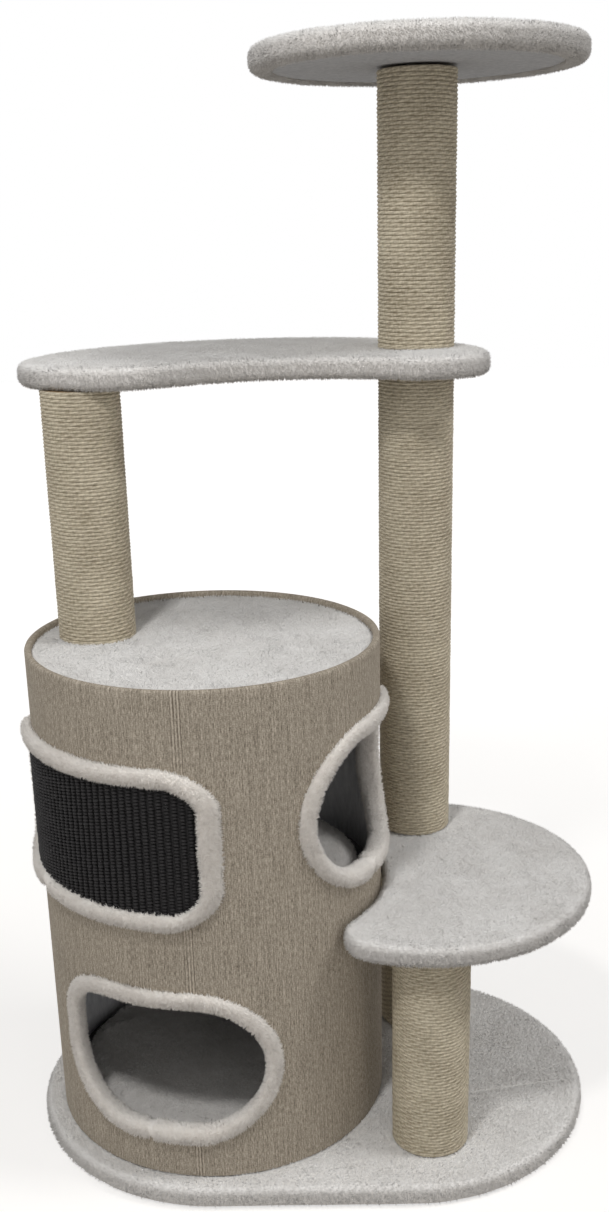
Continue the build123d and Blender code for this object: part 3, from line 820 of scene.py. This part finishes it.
# %% [markdown]
# ## The pile
# Pile is what makes plush look like plush: a soft outline and a mottled top. Hair particles could do it, but
# they are lost when a model is exported. This tree strews tufts, three thin faces each, over a skin, leans
# them by a slow noise so that they lie in clumps, and gives them nearly the skin's own normals so that they
# shade as one soft surface.

# %% Pile tree
lean_size = 20 * mm

tree, given = new_tree("plush_pile", "Pile", Skin="Geometry", Tufts_per_m2="Float", Length="Float",
                       Width="Float", Lean="Float", Stray="Float", Crisp="Float", Seed="Int",
                       Finish="Material")
pile_tree = tree
chosen = add(tree, "GeometryNodeInputNamedAttribute", {"Name": "pile"}, data_type="BOOLEAN")
strewn = add(tree, "GeometryNodeDistributePointsOnFaces",
             {"Mesh": given["Skin"], "Selection": chosen, "Density": given["Tufts per m2"],
              "Seed": given["Seed"]}).outputs
kept = add(tree, "GeometryNodeStoreNamedAttribute",
           {"Geometry": strewn["Points"], "Name": "nap", "Value": strewn["Normal"]},
           data_type="FLOAT_VECTOR", domain="POINT")
stray = add(tree, "FunctionNodeRandomValue", {0: (-1, -1, -1), 1: (1, 1, 1), "Seed": given["Seed"]},
            data_type="FLOAT_VECTOR")
stray = add(tree, "ShaderNodeVectorMath", {0: stray, "Scale": given["Stray"]}, operation="SCALE")
flow = drift(tree, lean_size, given["Lean"])
lean = add(tree, "ShaderNodeVectorMath", {0: flow, 1: stray}, operation="ADD")
lean = add(tree, "ShaderNodeVectorMath", {0: lean, 1: strewn["Normal"]}, operation="ADD")
stand = add(tree, "FunctionNodeAlignRotationToVector", {"Vector": lean}, axis="Z")
size = add(tree, "FunctionNodeRandomValue", {2: 0.7, 3: 1.2, "Seed": given["Seed"]}, data_type="FLOAT")
half = add(tree, "ShaderNodeMath", {0: given["Width"], 1: 0.5}, operation="MULTIPLY")
tuft = add(tree, "GeometryNodeMeshCone",
           {"Vertices": 3, "Side Segments": 1, "Radius Top": 0.0, "Radius Bottom": half,
            "Depth": given["Length"]}, fill_type="NONE")
stood = add(tree, "GeometryNodeInstanceOnPoints",
            {"Points": kept, "Instance": tuft, "Rotation": stand, "Scale": size.outputs[1]})
solid = add(tree, "GeometryNodeRealizeInstances", {"Geometry": stood})
nap_way = add(tree, "GeometryNodeInputNamedAttribute", {"Name": "nap"}, data_type="FLOAT_VECTOR")
own_way = add(tree, "GeometryNodeInputNormal")
own_way = add(tree, "ShaderNodeVectorMath", {0: own_way, "Scale": given["Crisp"]}, operation="SCALE")
soft = add(tree, "ShaderNodeVectorMath", {0: nap_way, 1: own_way}, operation="ADD")
soft = add(tree, "ShaderNodeVectorMath", {0: soft}, operation="NORMALIZE")
shaded = add(tree, "GeometryNodeSetMeshNormal", {"Mesh": solid, "Custom Normal": soft},
             mode="FREE", domain="CORNER")
end_tree(tree, shaded, given["Finish"])

# %% [markdown]
# The covers get a short dense pile. The base is large, so its tufts stand wider apart and are thicker. The
# edgings are brushed: their tufts are longer, finer and more astray, and each shades more by itself.

# %% Grow the pile
pile_lean = 1.1


def grow_pile(name, skin, tufts, length, seed, finish=plush, stray=0.4, crisp=0.18):
    """Pile on a skin, from (number per square metre, width). Faces lie bare only where the skin says so."""
    if "pile" not in skin.data.attributes:
        mark_pile(skin.data, [True] * len(skin.data.polygons))
    made = grow(pile_tree, name, skin.data, Tufts_per_m2=tufts[0], Length=length, Width=tufts[1],
                Lean=pile_lean, Stray=stray, Crisp=crisp, Seed=seed, Finish=finish)
    print(name, len(made.data.polygons), "faces")
    return made


# Tufts per square metre, and their widths
cover_tufts = {"base": (185000, 2.0 * mm), "step": (420000, 1.5 * mm), "perch": (340000, 1.5 * mm),
               "top": (420000, 1.5 * mm), "tray": (420000, 1.5 * mm)}
edging_tufts, cushion_tufts = (700000, 1.3 * mm), (200000, 2.4 * mm)
cover_length, edging_length, cushion_length = 3.6 * mm, 4.2 * mm, 4.0 * mm
edging_seed, cushion_seed = 20, 40
piles = {}
for seed, (name, tufts) in enumerate(cover_tufts.items()):
    piles[name] = grow_pile(name + "_pile", covers[name], tufts, cover_length, seed)
for seed, name in enumerate(edgings, edging_seed):
    piles[name + "_edging"] = grow_pile(name + "_edging_pile", edgings[name], edging_tufts, edging_length,
                                        seed, edging_plush, stray=0.7, crisp=0.45)

# %% [markdown]
# ## Sisal rope
# Each tube is wound from one rope, turn on turn. A spiral curve with a small round section is exactly that.
# Two attributes, how far along and where around the rope a point is, let the finish draw the twisted strands,
# and a slow noise lets the turns wander as hand-wound ones do.

# %% Rope tree
wander_size, wander = 12 * mm, 1.3 * mm
rope_half, spare_turns = 0.54, 2.0

tree, given = new_tree("rope_winding", "Winding", Tube="Geometry", Radius="Float", Height="Float",
                       Rope="Float", Turns="Float", Foot="Vector", Wander="Float", Finish="Material")
rope_tree = tree
turns = add(tree, "ShaderNodeMath", {0: given["Turns"], 1: spare_turns}, operation="ADD")
reach = add(tree, "ShaderNodeMath", {0: given["Rope"], 1: spare_turns, 2: given["Height"]},
            operation="MULTIPLY_ADD")
spiral = add(tree, "GeometryNodeCurveSpiral",
             {"Resolution": 44, "Rotations": turns, "Start Radius": given["Radius"],
              "End Radius": given["Radius"], "Height": reach})
# The spiral is one turn too long at each end, and those turns are pressed level against the boards
place = add(tree, "GeometryNodeInputPosition")
climb = add(tree, "ShaderNodeSeparateXYZ", {0: place}).outputs
level = add(tree, "ShaderNodeMath", {0: climb["Z"], 1: given["Rope"]}, operation="SUBTRACT")
level = add(tree, "ShaderNodeClamp", {"Value": level, "Min": 0.0, "Max": given["Height"]})
level = add(tree, "ShaderNodeCombineXYZ", {0: climb["X"], 1: climb["Y"], 2: level})
pressed = add(tree, "GeometryNodeSetPosition", {"Geometry": spiral, "Position": level})
moved = add(tree, "GeometryNodeTransform", {"Geometry": pressed, "Translation": given["Foot"]})
slow = drift(tree, wander_size, given["Wander"])
wound = add(tree, "GeometryNodeSetPosition", {"Geometry": moved, "Offset": slow})
upright = add(tree, "GeometryNodeSetCurveNormal", {"Curve": wound}, mode="Z_UP")
run = add(tree, "GeometryNodeSplineParameter").outputs["Length"]
noted = add(tree, "GeometryNodeStoreNamedAttribute", {"Geometry": upright, "Name": "along", "Value": run},
            data_type="FLOAT", domain="POINT")
half = add(tree, "ShaderNodeMath", {0: given["Rope"], 1: rope_half}, operation="MULTIPLY")
section = add(tree, "GeometryNodeCurvePrimitiveCircle", {"Resolution": 6, "Radius": half}, mode="RADIUS")
turned = add(tree, "ShaderNodeVectorMath", {0: place}, operation="NORMALIZE")
section = add(tree, "GeometryNodeStoreNamedAttribute",
              {"Geometry": section, "Name": "around", "Value": turned},
              data_type="FLOAT_VECTOR", domain="POINT")
swept = add(tree, "GeometryNodeCurveToMesh", {"Curve": noted, "Profile Curve": section, "Fill Caps": True})
real = add(tree, "GeometryNodeRealizeInstances", {"Geometry": swept})
end_tree(tree, real, given["Finish"])

# %% [markdown]
# The CAD gives the radius, the height and the foot of each winding. The rope of the upper rear post is a
# little thicker, because its turns are wider in the photograph.

# %% Wind the posts
rope_sizes = {"front_post": 4.0 * mm, "rear_lower_post": 4.0 * mm, "rear_middle_post": 4.0 * mm,
              "rear_upper_post": 4.3 * mm, "barrel_post": 4.0 * mm}
windings = {}
empty_mesh = bpy.data.meshes.new("winding_start")
for name, rope_d in rope_sizes.items():
    low, high = (Vector(c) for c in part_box(name + "_rope"))
    radius = (high.x - low.x) / 2 - rope_d / 2
    tall = high.z - low.z - rope_d
    foot = Vector(((low.x + high.x) / 2, (low.y + high.y) / 2, low.z + rope_d / 2))
    windings[name] = grow(rope_tree, name + "_sisal", empty_mesh, Radius=radius, Height=tall, Rope=rope_d,
                          Turns=tall / rope_d, Foot=foot, Wander=wander, Finish=rope_finish)
    windings[name].data.shade_smooth()
    print(name, "wound with", round(tall / rope_d), "turns,", len(windings[name].data.polygons), "faces")

# %% [markdown]
# ## The scratching mat
# The black mat is woven: upright ribs, each a stack of short fibre bundles, with every second rib set half a
# bundle higher. Ribs drawn by a bump would go flat at the barrel's limb, so every bundle is a small real
# shape, placed by points on the barrel that know their outward direction, over a dark ground cloth.

# %% Mat tree
tree, given = new_tree("mat_weave", "Mat", Places="Geometry", Wide="Float", Tall="Float", Deep="Float",
                       Seed="Int", Finish="Material")
weave_tree = tree
bundle = add(tree, "GeometryNodeMeshUVSphere", {"Segments": 6, "Rings": 4, "Radius": 0.5})
shape = add(tree, "ShaderNodeCombineXYZ", {0: given["Wide"], 1: given["Tall"], 2: given["Deep"]})
bundle = add(tree, "GeometryNodeTransform", {"Geometry": bundle, "Scale": shape})
outward = add(tree, "GeometryNodeInputNamedAttribute", {"Name": "outward"}, data_type="FLOAT_VECTOR")
tipped = add(tree, "FunctionNodeRandomValue",
             {0: (-0.3, -0.3, -0.3), 1: (0.3, 0.3, 0.3), "Seed": given["Seed"]}, data_type="FLOAT_VECTOR")
facing = add(tree, "ShaderNodeVectorMath", {0: outward, 1: tipped}, operation="ADD")
turned = add(tree, "FunctionNodeAlignRotationToVector", {"Vector": facing}, axis="Z")
upright = add(tree, "FunctionNodeAlignRotationToVector", {"Rotation": turned, "Vector": (0, 0, 1)},
              axis="Y", pivot_axis="Z")
size = add(tree, "FunctionNodeRandomValue", {2: 0.88, 3: 1.12, "Seed": given["Seed"]}, data_type="FLOAT")
laid = add(tree, "GeometryNodeInstanceOnPoints",
           {"Points": given["Places"], "Instance": bundle, "Rotation": upright, "Scale": size.outputs[1]})
real = add(tree, "GeometryNodeRealizeInstances", {"Geometry": laid})
end_tree(tree, real, given["Finish"])

# %% [markdown]
# The ribs stand side by side along the barrel's arc, and a place gets a bundle only inside the panel's
# outline. The ground cloth fills the same outline a little deeper.

# %% Weave the mat
rib_pitch, bundle_pitch = 8.2 * mm, 3.8 * mm
bundle_wide, bundle_tall, bundle_deep = 7.2 * mm, 3.6 * mm, 5.4 * mm
bundle_off, ground_off, mat_lap = 2.0 * mm, 0.8 * mm, 1.0 * mm
ground_parts = 60
panel_line = panel_outline(mat_lap)
places, directions = [], []
for rib, arc in enumerate(np.arange(-panel_arc / 2, panel_arc / 2, rib_pitch)):
    for z in np.arange(-panel_h / 2, panel_h / 2 + bundle_pitch, bundle_pitch):
        x = barrel_r * math.sin(arc / barrel_r)
        spot = np.array([(x, z + (rib % 2) * bundle_pitch / 2)])
        if inside(spot, panel_line)[0]:
            places.append(pressed_on(x, spot[0, 1] + panel_place[1], barrel_r + bundle_off, panel_place[0]))
            directions.append(Vector((places[-1][0] - barrel_x, places[-1][1], 0)).normalized())
spots = new_mesh("mat_places", places, [])
outward = spots.attributes.new("outward", "FLOAT_VECTOR", "POINT")
outward.data.foreach_set("vector", np.array(directions).ravel())
mat = grow(weave_tree, "scratch_mat", spots, Wide=bundle_wide, Tall=bundle_tall, Deep=bundle_deep, Seed=5,
           Finish=mat_finish)
mat.data.shade_smooth()

half_w = barrel_r * math.sin(panel_arc / (2 * barrel_r))
columns = []
for x in np.linspace(-half_w, half_w, ground_parts + 1):
    past = max(0.0, abs(x) - (half_w - panel_r))
    tall = panel_h / 2 - panel_r + math.sqrt(panel_r ** 2 - past ** 2)
    for z in (-tall, tall):
        columns.append(pressed_on(x, panel_place[1] + z, barrel_r + ground_off, panel_place[0]))
strips = [(2 * i, 2 * i + 2, 2 * i + 3, 2 * i + 1) for i in range(ground_parts)]
mat_ground = new_piece("scratch_mat_ground", new_mesh("scratch_mat_ground", columns, strips), mat_finish)
print("mat:", len(places), "bundles,", len(mat.data.polygons), "faces")

# %% [markdown]
# ## Cushions
# Each den has a loose round cushion. A stuffed thing is full in the middle, and its skin is drawn in at the
# seam. A cloth simulation that blows the skin up from inside gives that by itself. It starts from a thinner
# shape, and a cap keeps the swelling inside the space that the CAD holds.

# %% Blow up the cushions
# The thin start as (share of the radius, share of the height)
cushion_section = [(0.0, -0.34), (0.5, -0.34), (0.85, -0.33), (0.96, -0.28), (0.99, -0.16), (1.0, 0.0),
                   (0.99, 0.16), (0.96, 0.28), (0.85, 0.33), (0.5, 0.34), (0.0, 0.34)]
skin_grid, blow_force, blow_steps, swell_cap = 6 * mm, 4, 20, 5 * mm
floor_gap, top_gap = 0.2 * mm, 1.5 * mm


def stuff(name, node, finish):
    """A cushion in a CAD node's place, blown up by a cloth simulation."""
    low, high = (Vector(c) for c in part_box(node))
    middle, tall, radius = (low + high) / 2, high.z - low.z, (high.x - low.x) / 2
    shell = bmesh.new()
    spine = [shell.verts.new((middle.x + r * radius, middle.y, middle.z + h * tall))
             for r, h in cushion_section]
    for a, b in zip(spine, spine[1:]):
        shell.edges.new((a, b))
    bmesh.ops.spin(shell, geom=shell.verts[:] + shell.edges[:], cent=middle, axis=(0, 0, 1),
                   angle=2 * math.pi, steps=72)
    bmesh.ops.remove_doubles(shell, verts=shell.verts, dist=1e-5)
    bmesh.ops.recalc_face_normals(shell, faces=shell.faces)
    mesh = bpy.data.meshes.new(name)
    shell.to_mesh(mesh)
    shell.free()
    made = new_piece(name, mesh, finish)
    remesh = made.modifiers.new("even", "REMESH")
    remesh.mode = "VOXEL"
    remesh.voxel_size = skin_grid
    mesh = as_it_is(made)
    made.modifiers.clear()
    made.data = mesh
    skin = np.array([v.co for v in mesh.vertices])
    cloth = made.modifiers.new("cloth", "CLOTH")
    cloth.settings.use_pressure = True
    cloth.settings.uniform_pressure_force = blow_force
    cloth.settings.effector_weights.gravity = 0
    for step in range(1, blow_steps + 1):
        scene.frame_set(step)
    moved = np.array([v.co for v in as_it_is(made).vertices]) - skin
    made.modifiers.clear()
    scene.frame_set(1)
    length = np.linalg.norm(moved, axis=1, keepdims=True)
    skin = skin + moved * np.minimum(1, swell_cap / np.maximum(length, 1e-9))
    skin[:, 2] = np.clip(skin[:, 2], low.z + floor_gap, high.z - top_gap)
    away = skin[:, :2] - (middle.x, middle.y)
    reach = np.linalg.norm(away, axis=1, keepdims=True)
    skin[:, :2] = (middle.x, middle.y) + away * np.minimum(1, (radius + swell_cap) / np.maximum(reach, 1e-9))
    mesh.vertices.foreach_set("co", skin.ravel())
    mesh.materials.clear()
    mesh.materials.append(finish)
    mesh.shade_smooth()
    return made


cushions = {}
for seed, name in enumerate(opening_places, cushion_seed):
    cushions[name] = stuff(name + "_cushion", name + "_den_cushion", cushion_plush)
    piles[name + "_cushion"] = grow_pile(name + "_cushion_pile", cushions[name], cushion_tufts,
                                         cushion_length, seed, cushion_plush)
    print(name, "cushion:", len(cushions[name].data.polygons), "faces")

# %% [markdown]
# ## Backing under the boards
# Under each board the hem leaves a field of bare board, which a grey felt covers. It lies a little inside the
# hem, so its edge is drawn in and up, and it is not quite flat between its staples.

# %% Lay the backings
felt_lap, felt_grid, felt_clear, felt_up = 2 * mm, 14 * mm, 8 * mm, 3.0 * mm
felt_size, felt_deep, felt_row = 50 * mm, 0.5 * mm, 3
backings = {}
for name in boards:
    rim = loops[name][0] - loops[name][1] * (hem_w - felt_lap)
    low, high = rim.min(axis=0), rim.max(axis=0)
    within = []
    for y in np.arange(low[1], high[1], felt_grid):
        for x in np.arange(low[0], high[0], felt_grid):
            if off_rim(rim, x, y) > felt_clear:
                within.append(Vector((x, y)))
    flat, triangles = fill_ring(rim, within)
    used = sorted({i for t in triangles for i in t})
    number = {old: new for new, old in enumerate(used)}
    level_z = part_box(name + "_backing")[0][2] + felt_up
    verts = [(x, y, level_z + uneven(x, y, felt_row, felt_size, felt_deep))
             for x, y in (flat[i] for i in used)]
    mesh = new_mesh(name + "_felt", verts, [tuple(number[i] for i in reversed(t)) for t in triangles])
    backings[name] = new_piece(name + "_felt", mesh, backing_finish)
    print(name, "felt:", len(mesh.polygons), "faces")

# %% [markdown]
# ## Finishes for the parts that stay as CAD
# Boards, discs, the barrel's wall, tubes, plugs and fasteners are hard parts whose CAD shape is right. They
# keep it and only get their real finish.

# %% Dress the CAD parts
hard = {"_board": chipboard, "_disc": felt_faced, "_plug": chipboard, "barrel_wall": fibreboard,
        "_tube": cardboard}
metal_endings = ["_bolts", "_bolt", "_washers", "_washer", "_studs", "_inserts"]
hard.update({ending: zinc for ending in metal_endings})
dressed_nodes = []
for node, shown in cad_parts.items():
    finish = next((m for ending, m in hard.items() if node.endswith(ending)), None)
    if finish:
        shown.data.materials.clear()
        shown.data.materials.append(finish)
        dressed_nodes.append(node)
print(len(dressed_nodes), "CAD parts dressed")

# %% [markdown]
# ## Rides and cuts
# Last, every piece is told which body it moves with, and the CAD nodes it replaces are hidden. The flat cut
# of each cover and felt is worked out too, but not kept.

# %% Declare every piece
side_w, tray_wrap, rim_fold, corner_share = 28 * mm, 3 * mm, 18 * mm, 0.86


def declare(piece, body, slot, *nodes):
    """A piece rides on a body and stands in for CAD nodes, which are hidden; the slot is not used."""
    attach(piece, body)
    if nodes:
        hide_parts(*nodes)


def cut_of(loop, wrap_w):
    """The flat cut of a cover: its outline grown by what wraps round the edge."""
    wide, deep = np.ptp(loop[0], axis=0) + 2 * wrap_w
    return (float(wide), float(deep)), float(loop[2] + loop[3] * wrap_w + math.pi * wrap_w ** 2)


for name, cover in covers.items():
    tray = name == "tray"
    declare(cover, "tree", "plush", "barrel_top_cover" if tray else name + "_cover")
    declare(piles[name], "tree", "plush")
    flat, area = cut_of(loops[name], tray_wrap if tray else side_w + hem_w)
for name, felt in backings.items():
    declare(felt, "tree", "backing_cloth", name + "_backing")
    flat, area = cut_of(loops[name], felt_lap - hem_w)

declare(barrel_cloth, "tree", "linen_cloth", "barrel_fabric")
for name, lining in linings.items():
    low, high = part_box(name + "_den_lining")
    wide = 2 * math.pi * lining_r
    declare(lining, "tree", "lining_cloth", name + "_den_lining")
for name, edging in edgings.items():
    node = "scratch_panel_trim" if name == "panel" else name + "_opening_trim"
    declare(edging, "tree", "plush", node)
    declare(piles[name + "_edging"], "tree", "plush")
declare(mat, "tree", "sisal_mat", "scratch_panel")
declare(mat_ground, "tree", "sisal_mat")
for name, winding in windings.items():
    declare(winding, "tree", "sisal_rope", name + "_rope")
for name, cushion in cushions.items():
    declare(cushion, name + "_cushion", "plush", name + "_den_cushion")
    declare(piles[name + "_cushion"], name + "_cushion", "plush")
